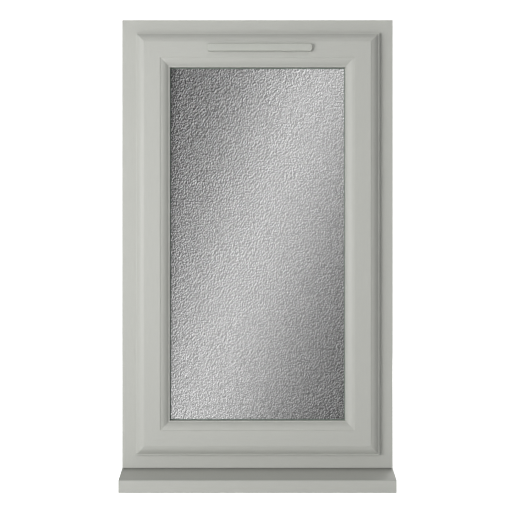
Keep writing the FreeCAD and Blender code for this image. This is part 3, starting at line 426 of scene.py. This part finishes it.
def stage_world(studio):
    """White behind the window, soft grey light all round that is stronger from above and the left,
    and a slanting soft strip of light in front that the obscure pane mirrors."""
    world = bpy.data.worlds.new("studio_world")
    bpy.context.scene.world = world
    world.use_nodes = True
    tree = world.node_tree
    tree.nodes.clear()
    path = put(tree, "ShaderNodeLightPath").outputs
    where = put(tree, "ShaderNodeTexCoord").outputs["Generated"]
    axes = put(tree, "ShaderNodeSeparateXYZ", {"Vector": where}).outputs
    lean = math.radians(studio.strip_lean)
    least_depth = 0.02
    front_from = -0.3
    bell_base = 2.718
    more_above = 0.4
    less_right = 0.5
    value = {"x": axes["X"], "y": axes["Y"], "z": axes["Z"], "glossy": path["Is Glossy Ray"],
             "through": path["Is Transmission Ray"], "camera": path["Is Camera Ray"]}
    # each row names a value and how it comes from two earlier values or numbers; the strip is
    # placed by its slope to the side and upwards, seen from the window, and fades as a bell curve
    for name, operation, first, second in (
            ("far", "ABSOLUTE", "y", None),
            ("depth", "MAXIMUM", "far", least_depth),
            ("side", "DIVIDE", "x", "depth"),
            ("rise", "DIVIDE", "z", "depth"),
            ("side_part", "MULTIPLY", "side", math.cos(lean)),
            ("rise_part", "MULTIPLY", "rise", -math.sin(lean)),
            ("slant", "ADD", "side_part", "rise_part"),
            ("off_middle", "SUBTRACT", "slant", studio.strip_shift),
            ("widths_off", "DIVIDE", "off_middle", studio.strip_wide),
            ("distance", "ABSOLUTE", "widths_off", None),
            ("square", "POWER", "distance", 2.0),
            ("minus_square", "MULTIPLY", "square", -1.0),
            ("bell", "POWER", bell_base, "minus_square"),
            ("shine", "MULTIPLY", "glossy", studio.strip_glow),
            ("strip", "MULTIPLY", "bell", "shine"),
            ("front", "LESS_THAN", "y", front_from),
            ("glow", "MULTIPLY", "strip", "front"),
            ("dim", "MULTIPLY", "through", studio.room - studio.ambient),
            ("above", "MULTIPLY", "z", more_above),
            ("right", "MULTIPLY", "x", less_right),
            ("tilt", "SUBTRACT", "above", "right"),
            ("share", "ADD", "tilt", 1.0),
            ("around", "MULTIPLY", "share", studio.ambient),
            ("lit", "ADD", "glow", "around"),
            ("seen", "ADD", "lit", "camera"),
            ("level", "ADD", "seen", "dim")):
        value[name] = put(tree, "ShaderNodeMath", {
            "operation": operation, 0: value.get(first, first), 1: value.get(second, second)}).outputs[0]
    sky = put(tree, "ShaderNodeBackground", {"Color": (1, 1, 1, 1), "Strength": value["level"]})
    put(tree, "ShaderNodeOutputWorld", {"Surface": sky})


def stage_floor(glow):
    """A wide pale floor that stays near white, and glows softly on what stands on it."""
    size = 6.0
    below = 0.5 * MM
    corners = [(-size, -size, 0), (size, -size, 0), (size, size, 0), (-size, size, 0)]
    mesh = bpy.data.meshes.new("floor")
    mesh.from_pydata(corners, [], [(0, 1, 2, 3)])
    floor = bpy.data.objects.new("floor", mesh)
    floor.location.z = -below
    bpy.context.scene.collection.objects.link(floor)
    material, tree = new_material("pale_floor")
    path = put(tree, "ShaderNodeLightPath").outputs
    plain = put(tree, "ShaderNodeBsdfDiffuse", {"Color": (0.78, 0.78, 0.78, 1)})
    strength = put(tree, "ShaderNodeMapRange",
                   {"To Min": glow, "To Max": 1.0, "Value": path["Is Camera Ray"]})
    lit = put(tree, "ShaderNodeEmission", {"Color": (1, 1, 1, 1), "Strength": strength})
    seen = put(tree, "ShaderNodeAddShader", {0: plain, 1: lit})
    through = put(tree, "ShaderNodeBsdfTransparent")
    bent = put(tree, "ShaderNodeMath",
               {"operation": "MAXIMUM", 0: path["Is Glossy Ray"], 1: path["Is Transmission Ray"]})
    mix = put(tree, "ShaderNodeMixShader", {0: bent, 1: seen, 2: through})
    put(tree, "ShaderNodeOutputMaterial", {"Surface": mix})
    mesh.materials.append(material)


def soft_light(name, place_at, aim, wide, high, power):
    """A soft box that points at aim."""
    data = bpy.data.lights.new(name, "AREA")
    data.shape = "RECTANGLE"
    data.size = wide
    data.size_y = high
    data.energy = power
    light = bpy.data.objects.new(name, data)
    light.location = place_at
    light.rotation_euler = (Vector(aim) - Vector(place_at)).to_track_quat("-Z", "Y").to_euler()
    bpy.context.scene.collection.objects.link(light)


class CASEMENT_OT_stage(bpy.types.Operator):
    """Camera, floor, soft lights and white surroundings"""
    bl_idname = "casement.stage"
    bl_label = "Studio"

    def execute(self, context):
        studio = context.scene.casement_studio
        scene = context.scene
        scene.view_settings.view_transform = "Standard"
        data = bpy.data.cameras.new("camera")
        data.sensor_width = 36.0
        data.lens = studio.lens
        camera = bpy.data.objects.new("camera", data)
        camera.location = (0.0, -studio.distance, studio.height)
        camera.rotation_euler = (math.pi / 2, 0.0, 0.0)
        scene.collection.objects.link(camera)
        scene.camera = camera
        stage_world(studio)
        stage_floor(studio.floor_glow)
        # the broad key stands in front at the left, and a fill inside the room lights the handle
        soft_light("key", place_at=(-2.1, -2.8, 0.7), aim=(0, 0, 0.48), wide=3.0, high=1.3,
                   power=studio.key_power)
        soft_light("back_fill", place_at=(1.8, 3.0, 1.6), aim=(0, 0, 0.5), wide=1.6, high=1.6,
                   power=60.0)
        return {"FINISHED"}


class CASEMENT_PT_panel(bpy.types.Panel):
    """Sidebar list of the window's pieces"""
    # Sidebar with the finish and studio settings and a button for each step
    bl_idname = "CASEMENT_PT_panel"
    bl_label = "Casement"
    bl_space_type = "VIEW_3D"
    bl_region_type = "UI"
    bl_category = "Casement"

    def draw(self, context):
        for group in (context.scene.casement_finish, context.scene.casement_studio):
            for name in group.bl_rna.properties.keys():
                if name not in ("rna_type", "name"):
                    self.layout.prop(group, name)
        for operator in OPERATORS:
            self.layout.operator(operator.bl_idname)


OPERATORS = (CASEMENT_OT_stage, CASEMENT_OT_bars, CASEMENT_OT_glazing, CASEMENT_OT_hardware,
             CASEMENT_OT_handle)
CLASSES = (CasementFinish, CasementStudio, *OPERATORS, CASEMENT_PT_panel)


def register():
    """Register the classes and hang the two property groups on the scene."""
    for cls in CLASSES:
        bpy.utils.register_class(cls)
    bpy.types.Scene.casement_finish = bpy.props.PointerProperty(type=CasementFinish)
    bpy.types.Scene.casement_studio = bpy.props.PointerProperty(type=CasementStudio)


def unregister():
    """Take off what register put on."""
    del bpy.types.Scene.casement_studio
    del bpy.types.Scene.casement_finish
    for cls in reversed(CLASSES):
        bpy.utils.unregister_class(cls)


def main():
    """Finish and light the window."""
    register()
    for operator in OPERATORS:
        group, name = operator.bl_idname.split(".")
        getattr(getattr(bpy.ops, group), name)()
    bpy.context.view_layer.update()


if __name__ == "__main__":
    main()
